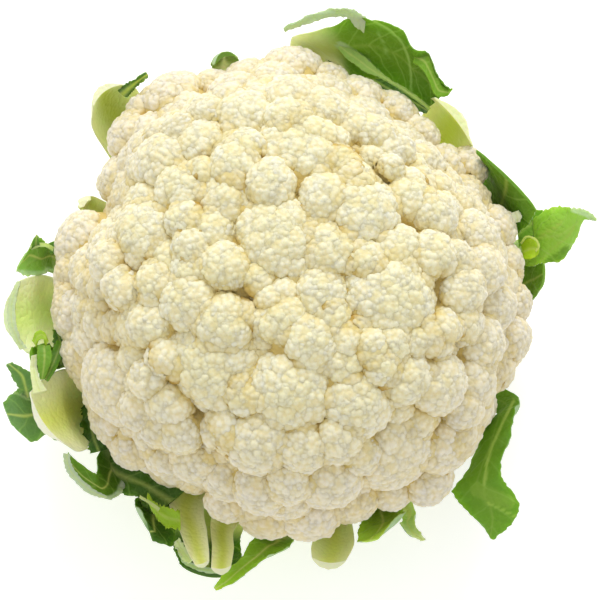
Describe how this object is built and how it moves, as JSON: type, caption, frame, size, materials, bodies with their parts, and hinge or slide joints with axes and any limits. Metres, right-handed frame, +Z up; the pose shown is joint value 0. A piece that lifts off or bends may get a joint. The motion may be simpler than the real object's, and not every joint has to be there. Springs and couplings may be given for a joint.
{
  "type": "cauliflower",
  "caption": "Trimmed cauliflower head: a domed creamy curd of packed florets on a cut stalk, wrapped by stubs of leaves.",
  "frame": {"origin": "middle of the stalk's cut face, which the head stands on", "axes": "+Z up the stalk to the crown, +X to the right of the picture, +Y to its top"},
  "size_m": [0.2107, 0.2035, 0.1158],
  "materials": {
    "curd": "matt creamy curd",
    "stalk": "pale green skin, cream cut face",
    "leaf": "green blades with pale veins",
    "petiole": "pale green ribs with cut ends"
  },
  "bodies": {
    "root": {"curd": "curd", "stalk": "stalk", "leaf_top": "leaf", "stub_right_top": "petiole", "leaf_right_top": "leaf", "leaf_right": "leaf", "leaf_right_low": "leaf", "leaf_right_bottom": "leaf", "leaf_bottom_right": "leaf", "leaf_bottom_tip": "leaf", "stub_bottom": "petiole", "leaf_bottom": "leaf", "petiole_bottom": "petiole", "petiole_bottom_left": "petiole", "leaf_bottom_under": "leaf", "leaf_bottom_left": "leaf", "leaf_left_bottom": "leaf", "petiole_left": "petiole", "leaf_left_under": "leaf", "curl_left": "leaf", "slab_left": "petiole", "leaf_left_top": "leaf", "stub_left": "petiole", "stub_left_top": "petiole", "stub_top": "petiole"}
  },
  "joints": []
}
